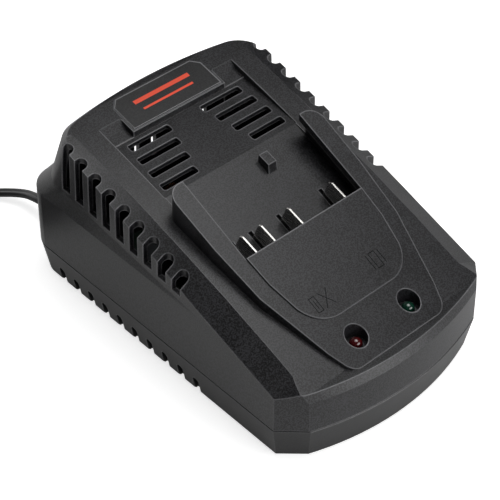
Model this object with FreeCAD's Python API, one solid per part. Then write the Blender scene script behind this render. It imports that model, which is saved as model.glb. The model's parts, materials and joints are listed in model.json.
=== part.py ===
import FreeCAD, Part
import math
import os

os.makedirs("parts", exist_ok=True)
V = FreeCAD.Vector

# Millimetres, +X right, the lamp end faces -Y, the cord leaves at +Y, +Z up from the floor.

# Driving sizes of the case
half_width = 57.5
front_tip = -89.4
rear_tip = 89.4
front_corner_x = 47.0
front_corner_y = -80.9
side_front_y = -70.6
side_rear_y = 74.8
rear_corner = (53.5, 83.0)
rear_edge = (42.0, 87.3)
wall = 2.4
foot_height = 1.2
split_z = 18.3
bottom_inset = 2.6
floor_chamfer = 1.0
fit_gap = 0.15

# Upper case heights
bevel_low_z = 33.8
bevel_high_z = 37.6
bevel_draft = 1.0
bevel_back = 3.0
seam = 0.4
shelf_z = 47.3
shelf_start_y = -27.0
shelf_rise = 0.105
hump_side_x = 55.4
hump_side_y = 60.0
hump_corner = (52.6, 71.6)
hump_edge = (42.0, 77.5)
hump_rear = 80.4
rim_side = (54.3, 56.0)
rim_corner = (50.6, 64.8)
rim_edge = (42.0, 70.0)
rim_rear = 74.3
rim_z = 79.6
rim_bevel = 5.0
top_limit_z = 100.0
panel_front = (-79.0, 38.0)
panel_mid = (-4.5, 64.0)
panel_rear = (68.0, 83.2)
panel_turn = (72.8, 82.4)
panel_end = (76.2, 78.6)
panel_edge_x = 47.0
ridge_x = 57.4
ridge_y0 = -67.5
ridge_z0 = 36.9
ridge_slope = 0.344

# Battery seat: a raised deck with a tongue, two rails and a sunken bay
deck_y0 = -80.9
deck_z0 = 39.0
deck_slope = 0.455
deck_outline = [(24.5, -81.4), (28.9, -71.8), (37.6, -42.0), (40.0, -18.0), (41.0, 10.4)]
deck_corner = 6.5
deck_draft = 1.3
deck_base_z = 32.0
rail_end_y = 10.4
tongue_rise = 0.9
tongue_side = [(31.9, -27.3), (31.2, -40.0), (28.6, -52.5)]
tongue_nose = (14.5, -62.8)
lip_x = 32.0
groove_x = 36.0
rail_lip = 3.6
bay_front_y = -27.3
crease_y = 16.5
crease_z = 69.8
bay_slope = 0.405
vent_slope = 0.18
vent_half = 36.4
vent_rear_y = 49.2
lobe_inner_x = 25.2
lobe_rear_y = 58.5
stop_base = (9.0, 13.9, 3.8, 10.8)
stop_top = (9.2, 13.7, 4.4, 10.3)
stop_height = 4.5

# Air slots of the top, one row per line: inner x, outer x, y
slot_rows = [(8.8, 30.6, 45.3), (10.6, 32.1, 37.6), (12.7, 33.0, 29.5), (15.2, 33.6, 21.6)]
slot_width = 3.9
slot_corner = 1.0

# Ribbed side slots
fin_count = 9
fin_pitch = 8.85
fin_first_y = 57.6
fin_slot = 5.2
fin_inner_x = 50.6
fin_base_rear = 58.4
fin_base_slope = 0.1

# Notches along the bottom edge
notch_count = 10
notch_pitch = 9.85
notch_first_y = 66.0
notch_width = 3.8
notch_height = 8.4
notch_depth = 2.0

# Name plate
plate_width = 47.6
plate_front_y = 50.2
plate_rear_y = 66.6
plate_corner = 3.4
plate_thick = 1.2
plate_proud = 0.25

# Terminals of the bay
blade_x = {"negative": -25.8, "sensor": -15.8, "data": -0.5, "positive": 23.5}
blade_thick = 0.8
blade_front_z = 63.0
blade_rear_y = -17.1
blade_rear_z = 66.4
blade_foot_y = -13.9
blade_tail_z = 44.0
blade_gap = 0.25
blade_root = 2.6
tab_y = (-23.0, -19.0)
tab_low_z = 39.0
terminal_wire_d = 1.6
carrier_half = 30.0
carrier_low_z = 42.0
carrier_gap = 0.05

# Lamps
lamp_x = 14.8
lamp_y = -72.1
lamp_well = 9.7
lamp_well_deep = 5.4
lamp_cup_wall = 1.6
lamp_lens = 5.6
lamp_flange = 0.8
lamp_body_h = 5.6
lamp_hole = 6.2
lamp_top_z = 41.3
lamp_leg_x = 1.27
lamp_leg_d = 0.6

# Circuit board, held inside the lower case
board_z = 15.0
board_thick = 1.6
board_top = board_z + board_thick
board_half_x = half_width - 13.5
board_front_y = front_tip + 13.4
board_rear_y = rear_tip - 33.4
boss_x = board_half_x - 5.0
boss_y = (board_front_y + 14.0, board_rear_y - 6.0)
boss_spots = [(-boss_x, boss_y[0]), (boss_x, boss_y[0]), (-boss_x, boss_y[1]), (boss_x, boss_y[1])]
boss_d = 7.0
boss_hole = 2.4
board_hole = 3.0
case_spots = [(-half_width + 8.0, front_tip + 31.4), (half_width - 8.0, front_tip + 31.4),
              (-half_width + 10.0, rear_tip - 19.4), (half_width - 10.0, rear_tip - 19.4)]
case_post_d = 7.0
case_sleeve_d = 8.6
case_pilot = 2.6
case_hole = 3.4
case_recess = 6.6
case_recess_z = 7.0
foot_d = 10.0
foot_seat = 0.7
foot_spots = [(-33.0, front_tip + 21.4), (33.0, front_tip + 21.4),
              (-33.0, rear_tip - 31.4), (33.0, rear_tip - 31.4)]

# Air slots of the base and of the rear wall
base_slot = (30.0, 3.0, 9.0)
base_slot_rows = 6
base_slot_y = 20.0
rear_slot_pitch = 9.7
rear_slot_x = [step * rear_slot_pitch for step in (-4.5, -3.5, -1.5, -0.5, 0.5, 1.5, 3.5, 4.5)]
rear_slot_half = 1.4
rear_slot_z = (22.5, 40.0)

# Screws: head diameter, head height, shank diameter, length
board_screw = (5.4, 1.8, 2.2, 8.0)
case_screw = (6.0, 2.2, 2.5, 24.0)
clamp_screw = (4.4, 1.6, 1.9, 8.0)
screw_slot = 0.8

# Parts on the board: middle x, middle y and their own sizes
core_spot = (-14.0, 16.0)
core_size = (30.0, 12.0, 26.0)
core_leg = 10.0
core_side = 5.0
core_play = 0.15
bobbin_wall = 1.0
bobbin_flange = 6.0
winding_round = 2.4
mains_can = (24.0, 40.0, 18.0, 30.0)
output_cans = [(32.0, -36.0, 10.0, 20.0), (32.0, -50.0, 10.0, 20.0)]
film_box = (-40.0, -22.0, 26.0, 34.0, 14.0)
choke_spot = (-6.0, 44.0)
choke_ring = (20.0, 10.0, 8.0)
choke_base = (6.0, 8.0, 3.5)
choke_wire = (24.0, 11.0)
fuse_spot = (-38.0, 6.0)
fuse_length = 17.0
fuse_d = (5.0, 5.6)
fuse_cap = 3.0
fuse_lift = 3.4
rectifier_box = (6.0, 10.0, 18.0, 34.0, 12.0)
primary_sink = (28.0, 18.0, 26.0, 26.0, 6)
output_sink = (-28.0, -48.0, 22.0, 20.0, 5)
sink_half = 1.0
sink_fin = (1.5, 8.0)
device_half_x = 5.0
device_y = (5.5, 2.3)
device_z = (6.0, 16.0, 21.0)
device_legs = (-2.5, 0.0, 2.5)
chips = [(0.0, -46.0, 10.0, 6.0), (8.0, -60.0, 8.0, 5.0)]
chip_z = (0.3, 2.6)

# Mains lead
cord_d = 4.6
exit_x = -half_width + 23.5
exit_z = 8.5
gland_face_y = rear_tip - 5.4
gland_outer_y = gland_face_y + 2.9
gland_end_y = gland_outer_y + 20.9
gland_d = 9.0
gland_tip_d = 5.8
gland_neck_d = 7.4
gland_flange_d = 10.4
gland_flange = 2.0
gland_inner_y = gland_face_y - 2.6
gland_rings = 5
gland_ring_pitch = 3.2
gland_ring = (3.6, 1.2, 1.0)
lead_inside_y = gland_face_y - 14.0
clamp_y = gland_face_y - 8.0
clamp_half = 11.5
clamp_screw_x = 7.5
clamp_z = 6.7
clamp_top_z = 12.2
clamp_post_d = 5.0
core_wire_d = 1.8
core_wire_x = 1.2
core_wire_y = 46.0

# Hand-chosen route of the lead from the gland, as steps from its exit and a height.
# It runs on along its last heading into the coil.
lead_steps = [(0.0, 0.0, exit_z), (-1.2, 14.8, 6.3), (-11.8, 29.7, 3.1), (-31.5, 46.2, cord_d / 2)]
lead_points = [(exit_x + dx, gland_end_y + dy, z) for dx, dy, z in lead_steps]
lead_heading = (-0.7412, 0.6713)
run_on = 2.0
coil_outer_r = 38.0
coil_pitch = 5.2
coil_turns_in = 4.75
coil_turns_out = 4.117
climb_turns = 0.5
tail_run = 36.0
tail_bends = [(12.0, 0.5, 7.0), (24.0, -0.5, 6.6)]

# Plug: a body with a neck and two round pins
plug_length = 36.0
plug_width = 34.0
plug_height = 13.6
plug_round = 5.0
plug_neck_d = 8.0
plug_neck = 10.0
pin_d = 4.0
pin_length = 19.0
pin_spacing = 18.6

lead_end = (lead_points[-1][0] + run_on * lead_heading[0], lead_points[-1][1] + run_on * lead_heading[1],
            cord_d / 2)
coil_start = (lead_end[0] + cord_d * lead_heading[0], lead_end[1] + cord_d * lead_heading[1])
coil_centre = (coil_start[0] - coil_outer_r * lead_heading[1], coil_start[1] + coil_outer_r * lead_heading[0])
coil_start_angle = math.atan2(coil_start[1] - coil_centre[1], coil_start[0] - coil_centre[0])


def wire_of(edges):
    return Part.Wire(edges)


def line(a, b):
    return Part.makeLine(V(*a), V(*b))


def arc(a, b, c):
    return Part.Arc(V(*a), V(*b), V(*c)).toShape()


def poly(points):
    return Part.makePolygon([V(*p) for p in points] + [V(*points[0])])


def prism(points, direction):
    return Part.Face(poly(points)).extrude(V(*direction))


def box(x0, x1, y0, y1, z0, z1):
    return Part.makeBox(x1 - x0, y1 - y0, z1 - z0, V(x0, y0, z0))


def rod(d, h, x, y, z, direction=(0, 0, 1)):
    return Part.makeCylinder(d / 2, h, V(x, y, z), V(*direction))


def fuse(shapes):
    result = shapes[0]
    if len(shapes) > 1:
        result = shapes[0].fuse(shapes[1:])
    return result.removeSplitter()


def mirrored(shape):
    return shape.mirror(V(0, 0, 0), V(1, 0, 0))


def both(shape):
    return fuse([shape, mirrored(shape)])


def case_wire(inset, z):
    """Closed plan outline of the case at height z, drawn in by inset."""
    hw = half_width - inset
    side_f = side_front_y + 0.41 * inset
    corner = (front_corner_x - 0.6 * inset, front_corner_y + 0.95 * inset)
    side_r = side_rear_y - 0.3 * inset
    mid = (rear_corner[0] - 0.75 * inset, rear_corner[1] - 0.68 * inset)
    edge = (rear_edge[0] - 0.3 * inset, rear_edge[1] - 0.95 * inset)
    return wire_of([
        line((-hw, side_r, z), (-hw, side_f, z)),
        line((-hw, side_f, z), (-corner[0], corner[1], z)),
        arc((-corner[0], corner[1], z), (0, front_tip + inset, z), (corner[0], corner[1], z)),
        line((corner[0], corner[1], z), (hw, side_f, z)),
        line((hw, side_f, z), (hw, side_r, z)),
        arc((hw, side_r, z), (mid[0], mid[1], z), (edge[0], edge[1], z)),
        arc((edge[0], edge[1], z), (0, rear_tip - inset, z), (-edge[0], edge[1], z)),
        arc((-edge[0], edge[1], z), (-mid[0], mid[1], z), (-hw, side_r, z)),
    ])


def nose_wire(inset, back, z):
    """Case outline whose bowed front alone is moved back along the corner chamfers."""
    hw = half_width - inset
    side_f = side_front_y + 0.41 * inset
    corner = (front_corner_x - 0.6 * inset + back, front_corner_y + 0.95 * inset + 0.98 * back)
    far_y = side_front_y + 14.0
    return wire_of([
        line((-hw, far_y, z), (-hw, side_f, z)),
        line((-hw, side_f, z), (-corner[0], corner[1], z)),
        arc((-corner[0], corner[1], z), (0, front_tip + inset + back, z), (corner[0], corner[1], z)),
        line((corner[0], corner[1], z), (hw, side_f, z)),
        line((hw, side_f, z), (hw, far_y, z)),
        line((hw, far_y, z), (-hw, far_y, z)),
    ])


def tray(levels):
    """Stack of ruled sections through (inset, z) levels of the case outline."""
    parts = []
    for (inset0, z0), (inset1, z1) in zip(levels, levels[1:]):
        parts.append(Part.makeLoft([case_wire(inset0, z0), case_wire(inset1, z1)], True, True))
    return fuse(parts)


def hump_wire(inset, tilt, z):
    """Rear half outline above the shelf; tilt raises it toward the rear."""
    def at(x, y):
        return (x, y, z + tilt * (y - shelf_start_y))
    hx = hump_side_x - inset
    front_x = half_width - 0.5 - inset
    mid = (hump_corner[0] - 0.75 * inset, hump_corner[1] - 0.68 * inset)
    edge = (hump_edge[0] - 0.3 * inset, hump_edge[1] - 0.95 * inset)
    rear = hump_rear - inset
    side_y = hump_side_y - 0.3 * inset
    return wire_of([
        line(at(-front_x, shelf_start_y), at(front_x, shelf_start_y)),
        line(at(front_x, shelf_start_y), at(hx, side_y)),
        arc(at(hx, side_y), at(*mid), at(*edge)),
        arc(at(*edge), at(0, rear), at(-edge[0], edge[1])),
        arc(at(-edge[0], edge[1]), at(-mid[0], mid[1]), at(-hx, side_y)),
        line(at(-hx, side_y), at(-front_x, shelf_start_y)),
    ])


def rim_wire(inset, z):
    """Hump outline at the rim below the rear edge of the top."""
    front_x = half_width - 0.5 - inset
    hx = rim_side[0] - inset
    mid = (rim_corner[0] - 0.75 * inset, rim_corner[1] - 0.68 * inset)
    edge = (rim_edge[0] - 0.3 * inset, rim_edge[1] - 0.95 * inset)
    side_y = rim_side[1] - 0.3 * inset
    return wire_of([
        line((-front_x, shelf_start_y, z), (front_x, shelf_start_y, z)),
        line((front_x, shelf_start_y, z), (hx, side_y, z)),
        arc((hx, side_y, z), (mid[0], mid[1], z), (edge[0], edge[1], z)),
        arc((edge[0], edge[1], z), (0, rim_rear - inset, z), (-edge[0], edge[1], z)),
        arc((-edge[0], edge[1], z), (-mid[0], mid[1], z), (-hx, side_y, z)),
        line((-hx, side_y, z), (-front_x, shelf_start_y, z)),
    ])


def shelf_wire(inset, z):
    """Rear half of the case outline just below the sloped shelf."""
    hw = half_width - 0.5 - inset
    side_r = side_rear_y - 0.3 * inset
    mid = (rear_corner[0] - 0.5 - 0.75 * inset, rear_corner[1] - 0.4 - 0.68 * inset)
    edge = (rear_edge[0] - 0.3 * inset, rear_edge[1] - 0.5 - 0.95 * inset)
    return wire_of([
        line((-hw, shelf_start_y, z), (hw, shelf_start_y, z)),
        line((hw, shelf_start_y, z), (hw, side_r, z)),
        arc((hw, side_r, z), (mid[0], mid[1], z), (edge[0], edge[1], z)),
        arc((edge[0], edge[1], z), (0, rear_tip - 0.5 - inset, z), (-edge[0], edge[1], z)),
        arc((-edge[0], edge[1], z), (-mid[0], mid[1], z), (-hw, side_r, z)),
        line((-hw, side_r, z), (-hw, shelf_start_y, z)),
    ])


def panel_z(y):
    """Height of the curved top panel above y, from the circle through its three points."""
    (ay, az), (by, bz), (cy, cz) = panel_front, panel_mid, panel_rear
    d = 2 * (ay * (bz - cz) + by * (cz - az) + cy * (az - bz))
    sa, sb, sc = ay * ay + az * az, by * by + bz * bz, cy * cy + cz * cz
    uy = (sa * (bz - cz) + sb * (cz - az) + sc * (az - bz)) / d
    uz = (sa * (cy - by) + sb * (ay - cy) + sc * (by - ay)) / d
    radius = math.hypot(ay - uy, az - uz)
    return uz + math.sqrt(radius * radius - (y - uy) ** 2)


def under_panel(drop):
    """Everything below the curved top panel, lowered by drop."""
    far = 95.0
    (fy, fz), (my, mz), (ry, rz) = panel_front, panel_mid, panel_rear
    back = rear_tip + 6
    edges = [
        line((-far, -far, -5), (-far, -far, fz - 0.6 - drop)),
        line((-far, -far, fz - 0.6 - drop), (-far, fy, fz - drop)),
        arc((-far, fy, fz - drop), (-far, my, mz - drop), (-far, ry, rz - drop)),
        arc((-far, ry, rz - drop), (-far, panel_turn[0], panel_turn[1] - drop),
            (-far, panel_end[0], panel_end[1] - drop)),
        line((-far, panel_end[0], panel_end[1] - drop), (-far, back, panel_end[1] - drop - 40)),
        line((-far, back, panel_end[1] - drop - 40), (-far, back, -5)),
        line((-far, back, -5), (-far, -far, -5)),
    ]
    return Part.Face(wire_of(edges)).extrude(V(2 * far, 0, 0))


def ridge_z(y):
    return ridge_z0 + ridge_slope * (y - ridge_y0)


def side_slant(drop, inset):
    """Cutter above the slanted strip between the ridge and the panel edge."""
    wires = []
    for y in (-96.0, -70.0, -45.0, -20.0, 5.0, 30.0, 50.0, 62.0):
        high = panel_z(max(y, panel_front[0])) - drop
        low = min(ridge_z(y) - drop, high)
        outer = ridge_x - inset
        slope = (high - low) / (outer - (panel_edge_x - inset))
        far_x = 66.0
        far_z = low - slope * (far_x - outer)
        wires.append(poly([(panel_edge_x - inset, y, high), (far_x, y, far_z),
                           (far_x, y, top_limit_z), (panel_edge_x - inset, y, top_limit_z)]))
    return Part.makeLoft(wires, True, True)


def upper_mass(inset, drop):
    """Solid body of the upper case without the seat, inset for the inside."""
    if inset:
        low = tray([(inset, split_z - 8), (inset + 0.5, shelf_z)])
    else:
        low = tray([(seam, split_z), (0.0, split_z + seam), (0.5, shelf_z)])
    front = tray([(inset + 0.5, shelf_z), (inset + 0.5, top_limit_z)])
    front = front.common(box(-70, 70, -95, shelf_start_y, shelf_z - 1, top_limit_z))
    strip = Part.makeLoft([shelf_wire(inset, shelf_z), hump_wire(inset, shelf_rise, shelf_z + 0.3)],
                          True, True)
    hump = Part.makeLoft([hump_wire(inset, shelf_rise, shelf_z + 0.3), rim_wire(inset, rim_z - drop)], True, True)
    rim = Part.makeLoft([rim_wire(inset, rim_z - drop), rim_wire(inset + rim_bevel, rim_z + rim_bevel - drop)],
                        True, True)
    body = fuse([low, front, strip, hump, rim])
    body = body.common(under_panel(drop))
    slant = side_slant(drop, inset)
    body = body.cut(slant).cut(mirrored(slant))
    nose = fuse([Part.makeLoft([nose_wire(inset, 0.0, split_z - 9), nose_wire(inset, bevel_draft, bevel_low_z)],
                               True, True),
                 Part.makeLoft([nose_wire(inset, bevel_draft, bevel_low_z),
                                nose_wire(inset, bevel_back, bevel_high_z)], True, True),
                 Part.makeLoft([nose_wire(inset, bevel_back, bevel_high_z),
                                nose_wire(inset, bevel_back + 0.2, top_limit_z)], True, True)])
    keep = fuse([nose, box(-70, 70, side_front_y + 13, 100, 0, top_limit_z)])
    return body.common(keep).removeSplitter()


def deck_z(y):
    return deck_z0 + deck_slope * (y - deck_y0)


def floor_z(y):
    return crease_z + bay_slope * (y - crease_y)


def vent_z(y):
    return crease_z + vent_slope * (y - crease_y)


def deck_wire(offset, z):
    pts = [(x + offset, y) for x, y in deck_outline]
    pts[0] = (pts[0][0], pts[0][1] - offset)
    pts[-1] = (pts[-1][0], pts[-1][1] + offset)
    full = [(x, y, z) for x, y in pts] + [(-x, y, z) for x, y in reversed(pts)]
    return poly(full)


def deck_mass(inset, drop):
    """Raised deck of the battery seat below its slanted plane."""
    side = Part.makeLoft([deck_wire(deck_draft - inset, deck_base_z),
                          deck_wire(-inset, deck_z(rail_end_y))], True, True)
    edges = []
    for edge in side.Edges:
        a, b = edge.Vertexes[0].Point, edge.Vertexes[-1].Point
        if abs(a.z - b.z) < 5:
            continue
        spot = V(a).add(V(b)).multiply(0.5)
        if abs(abs(spot.x) - deck_outline[0][0]) < 4.0 and spot.y < -78:
            edges.append(edge)
        if spot.y > 8:
            edges.append(edge)
    side = side.makeFillet(deck_corner - inset, edges)
    below = prism([(-60, -95, 0), (-60, -95, deck_z(-95) - drop), (-60, 20, deck_z(20) - drop),
                   (-60, 20, 0)], (120, 0, 0))
    return side.common(below)


def tongue_solid():
    """Slightly raised tongue in the middle of the deck, rounded toward the lamps."""
    right = [(tongue_side[0][0], tongue_side[0][1], 0), (tongue_side[1][0], tongue_side[1][1], 0),
             (tongue_side[2][0], tongue_side[2][1], 0)]
    nose = (tongue_nose[0], tongue_nose[1], 0)
    turn = (23.2, -60.0, 0)
    def flip(p):
        return (-p[0], p[1], p[2])
    edges = [line(right[0], right[1]), line(right[1], right[2]),
             arc(right[2], turn, nose), line(nose, flip(nose)),
             arc(flip(nose), flip(turn), flip(right[2])),
             line(flip(right[2]), flip(right[1])), line(flip(right[1]), flip(right[0])),
             line(flip(right[0]), right[0])]
    column = Part.Face(wire_of(edges)).extrude(V(0, 0, top_limit_z))
    slab = prism([(-60, -95, deck_z(-95) - 1), (-60, -95, deck_z(-95) + tongue_rise),
                  (-60, 20, deck_z(20) + tongue_rise), (-60, 20, deck_z(20) - 1)], (120, 0, 0))
    return column.common(slab)


def bay_space(grow):
    """Air of the battery bay: between the lips, under them, and above the sloped floor."""
    y0 = bay_front_y - grow
    middle = prism([(-lip_x - grow, y0, floor_z(y0) - grow), (-lip_x - grow, crease_y, floor_z(crease_y) - grow),
                    (-lip_x - grow, crease_y, top_limit_z), (-lip_x - grow, y0, top_limit_z)],
                   (2 * (lip_x + grow), 0, 0))
    wide_half = groove_x + grow
    end_y = crease_y
    lip_drop = rail_lip - grow
    wide = prism([(-wide_half, y0, floor_z(y0) - grow), (-wide_half, end_y, floor_z(end_y) - grow),
                  (-wide_half, end_y, deck_z(end_y) - lip_drop), (-wide_half, y0, deck_z(y0) - lip_drop)],
                 (2 * wide_half, 0, 0))
    return fuse([middle, wide])


def vent_space(grow):
    """Air of the sunken panel that holds the air slots, with its two rear lobes."""
    y0 = crease_y
    y1 = vent_rear_y + grow
    y2 = lobe_rear_y + grow
    main = prism([(-vent_half - grow, y0, vent_z(y0) - grow), (-vent_half - grow, y1, vent_z(y1) - grow),
                  (-vent_half - grow, y1, top_limit_z), (-vent_half - grow, y0, top_limit_z)],
                 (2 * (vent_half + grow), 0, 0))
    lobe = prism([(lobe_inner_x - grow, y1 - 2, vent_z(y1) - grow), (lobe_inner_x - grow, y2 - 4, vent_z(y2) - grow),
                  (lobe_inner_x - grow, y2 + 1.5, vent_z(y2) + 6), (lobe_inner_x - grow, y1 - 2, vent_z(y1) + 6)],
                 (vent_half - lobe_inner_x + 2 * grow, 0, 0))
    return fuse([main, lobe, mirrored(lobe)])


def round_slot(x0, x1, y, width, z0, z1):
    r = width / 2
    return fuse([box(x0 + r, x1 - r, y - r, y + r, z0, z1), rod(width, z1 - z0, x0 + r, y, z0),
                 rod(width, z1 - z0, x1 - r, y, z0)])


def square_slot(x0, x1, y, width, corner, z0, z1):
    half = width / 2
    parts = [box(x0 + corner, x1 - corner, y - half, y + half, z0, z1),
             box(x0, x1, y - half + corner, y + half - corner, z0, z1)]
    for x in (x0 + corner, x1 - corner):
        for side in (-1, 1):
            parts.append(rod(2 * corner, z1 - z0, x, y + side * (half - corner), z0))
    return fuse(parts)


def fin_base_z(y):
    return fin_base_rear + fin_base_slope * (y - fin_first_y)


def fin_slots():
    cuts = []
    for i in range(fin_count):
        y = fin_first_y - i * fin_pitch
        z0 = fin_base_z(y)
        slot = fuse([box(fin_inner_x + fin_slot / 2, 62, y - fin_slot / 2, y + fin_slot / 2, z0, top_limit_z),
                     rod(fin_slot, top_limit_z - z0, fin_inner_x + fin_slot / 2, y, z0)])
        cuts += [slot, mirrored(slot)]
    return cuts


def plate_face(width, front_y, rear_y, cut):
    half = width / 2
    return [(-half, front_y), (half, front_y), (half, rear_y - cut), (half - cut, rear_y),
            (-half + cut, rear_y), (-half, rear_y - cut)]


def plate_solid(grow, low, high):
    """Slab that follows the slope of the panel, from low to high beside its surface."""
    mid_y = (plate_front_y + plate_rear_y) / 2
    mid_z = panel_z(mid_y)
    slope = (panel_z(plate_rear_y) - panel_z(plate_front_y)) / (plate_rear_y - plate_front_y)
    pts = plate_face(plate_width + 2 * grow, plate_front_y - grow, plate_rear_y + grow, plate_corner)
    face = Part.Face(poly([(x, y, mid_z + slope * (y - mid_y) + low) for x, y in pts]))
    return face.extrude(V(0, 0, high - low))


def upper_shell():
    outer = fuse([upper_mass(0.0, 0.0), deck_mass(0.0, 0.0), tongue_solid()])
    outer = outer.cut(bay_space(0.0)).cut(vent_space(0.0)).removeSplitter()
    inner = fuse([upper_mass(wall, wall), deck_mass(wall, wall)])
    inner = inner.cut(bay_space(wall)).cut(vent_space(wall - 0.2))
    inner = inner.cut(plate_solid(1.5, -plate_thick - wall, 5.0))
    shell = outer.cut(inner)
    shell = shell.common(box(-70, 70, -95, 95, split_z, top_limit_z))
    stop = Part.makeLoft([
        poly([(stop_base[0], stop_base[2], floor_z(stop_base[2]) - 0.6),
              (stop_base[1], stop_base[2], floor_z(stop_base[2]) - 0.6),
              (stop_base[1], stop_base[3], floor_z(stop_base[3]) - 0.6),
              (stop_base[0], stop_base[3], floor_z(stop_base[3]) - 0.6)]),
        poly([(stop_top[0], stop_top[2], floor_z(stop_top[2]) + stop_height),
              (stop_top[1], stop_top[2], floor_z(stop_top[2]) + stop_height),
              (stop_top[1], stop_top[3], floor_z(stop_top[3]) + stop_height - 0.6),
              (stop_top[0], stop_top[3], floor_z(stop_top[3]) + stop_height - 0.6)])], True, True)
    shell = fuse([shell, stop])
    cuts = fin_slots()
    for x0, x1, y in slot_rows:
        slot = square_slot(x0, x1, y, slot_width, slot_corner, 60, top_limit_z)
        cuts += [slot, mirrored(slot)]
    for x in blade_x.values():
        half = blade_thick / 2 + blade_gap
        cuts.append(box(x - half - 0.5, x + half, bay_front_y, blade_foot_y + 2.2, 40, floor_z(blade_foot_y) + 2))
        root_y = bay_front_y - blade_root - blade_gap
        root_top = blade_top(root_y) + blade_gap
        edge_top = blade_top(bay_front_y) + blade_gap
        cuts.append(prism([(x - half, root_y, 40), (x - half, root_y, root_top),
                           (x - half, bay_front_y + 0.1, edge_top), (x - half, bay_front_y + 0.1, 40)],
                          (2 * half, 0, 0)))
    for x in (-lamp_x, lamp_x):
        cuts.append(rod(lamp_hole, 40, x, lamp_y, 25))
    cuts.append(plate_solid(fit_gap, -plate_thick, 8.0))
    seats = []
    for x in (-lamp_x, lamp_x):
        cup_z = deck_z(lamp_y) - lamp_well_deep - 1.4
        cup = rod(lamp_well + 2 * lamp_cup_wall, lamp_well_deep + 6.0, x, lamp_y, cup_z)
        cup = cup.common(prism([(-60, -95, 0), (-60, -95, deck_z(-95) - 0.4), (-60, 20, deck_z(20) - 0.4),
                                (-60, 20, 0)], (120, 0, 0)))
        seats.append(cup)
    shell = fuse([shell] + seats)
    for x in (-lamp_x, lamp_x):
        cuts.append(rod(lamp_well, 20, x, lamp_y, deck_z(lamp_y) - lamp_well_deep))
    posts = []
    for x, y in case_spots:
        top = panel_z(y) - 6
        post = rod(case_post_d, top - split_z - 0.2, x, y, split_z + 0.2)
        posts.append(post)
    posts = [p.common(fuse([upper_mass(0.6, 0.6)])) for p in posts]
    shell = fuse([shell] + posts)
    for x, y in case_spots:
        cuts.append(rod(case_pilot, case_screw[3] - split_z + case_recess_z + 2, x, y, split_z - 1))
    for x in rear_slot_x:
        cuts.append(box(x - rear_slot_half, x + rear_slot_half, 60, 95, rear_slot_z[0], rear_slot_z[1]))
    return shell.cut(cuts)


def lower_shell():
    levels = [(bottom_inset + floor_chamfer, foot_height), (bottom_inset, foot_height + floor_chamfer),
              (0.0, split_z - seam), (seam, split_z)]
    inner = [(bottom_inset + wall, foot_height + wall), (wall, split_z), (wall, split_z + 1)]
    shell = tray(levels).cut(tray(inner))
    adds = []
    for x, y in boss_spots:
        adds.append(rod(boss_d, board_z - foot_height - 0.5, x, y, foot_height + 0.5))
    for x, y in case_spots:
        adds.append(rod(case_sleeve_d, split_z - foot_height - 0.5, x, y, foot_height + 0.5))
    for x in (exit_x - clamp_screw_x, exit_x + clamp_screw_x):
        adds.append(rod(clamp_post_d, clamp_z - foot_height - wall + 0.5, x, clamp_y, foot_height + wall - 0.5))
    shell = fuse([shell] + [a.common(tray([(0.6, foot_height + 0.3), (0.6, split_z)])) for a in adds])
    cuts = []
    for x, y in boss_spots:
        cuts.append(rod(boss_hole, board_screw[3] + 1.0, x, y, board_z - board_screw[3] - 1.0))
    for x, y in case_spots:
        cuts.append(rod(case_hole, 30, x, y, -2))
        cuts.append(rod(case_recess, case_recess_z + 2, x, y, -2))
    for x in (exit_x - clamp_screw_x, exit_x + clamp_screw_x):
        cuts.append(rod(clamp_screw[2] + 0.1, 4.0, x, clamp_y, clamp_z - 4.0))
    for i in range(notch_count):
        y = notch_first_y - i * notch_pitch
        r = notch_width / 2
        notch = fuse([box(half_width - bottom_inset - notch_depth, half_width + 3, y - r, y + r, -1,
                          foot_height + notch_height - r),
                      rod(notch_width, notch_depth + bottom_inset + 3, half_width - bottom_inset - notch_depth, y,
                          foot_height + notch_height - r, (1, 0, 0))])
        cuts += [notch, mirrored(notch)]
    length, width, pitch = base_slot
    for i in range(base_slot_rows):
        slot = round_slot(-length / 2, length / 2, 0, width, -1, 8).rotated(V(0, 0, 0), V(0, 0, 1), 90)
        cuts.append(slot.translated(V((i - (base_slot_rows - 1) / 2) * pitch, base_slot_y, 0)))
    cuts.append(rod(gland_neck_d + 2 * fit_gap, 14, exit_x, 80, exit_z, (0, 1, 0)))
    for x, y in foot_spots:
        cuts.append(rod(foot_d + 0.4, 0.8, x, y, foot_height - 0.1))
    return shell.cut(cuts)


def save(name, shape):
    if shape.ShapeType == "Compound" and len(shape.Solids) == 1:
        shape = shape.Solids[0]
    assert shape.isValid(), name
    shape.exportStep("parts/" + name + ".step")
    bb = shape.BoundBox
    print("%-24s solids %d  x %.1f..%.1f  y %.1f..%.1f  z %.1f..%.1f" % (
        name, len(shape.Solids), bb.XMin, bb.XMax, bb.YMin, bb.YMax, bb.ZMin, bb.ZMax))


def name_plate():
    return plate_solid(0.0, -plate_thick, plate_proud)


def blade_top(y):
    """Height of a contact's upper edge above y."""
    slope = (blade_rear_z - blade_front_z) / (blade_rear_y - bay_front_y)
    return blade_front_z + slope * (y - bay_front_y)


def terminal_blade(x):
    """Flat contact whose rear edge slants down to the bay floor."""
    y0 = bay_front_y - blade_root
    near = blade_rear_y - 1.5
    shape = prism([(x - blade_thick / 2, y0, blade_tail_z), (x - blade_thick / 2, y0, blade_top(y0)),
                   (x - blade_thick / 2, near, blade_top(near)),
                   (x - blade_thick / 2, blade_rear_y, blade_rear_z - 1.0),
                   (x - blade_thick / 2, blade_foot_y, floor_z(blade_foot_y)),
                   (x - blade_thick / 2, blade_foot_y, blade_tail_z)], (blade_thick, 0, 0))
    tab = box(x - blade_thick / 2, x + blade_thick / 2, tab_y[0], tab_y[1], tab_low_z, blade_tail_z)
    return fuse([shape, tab])


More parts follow.
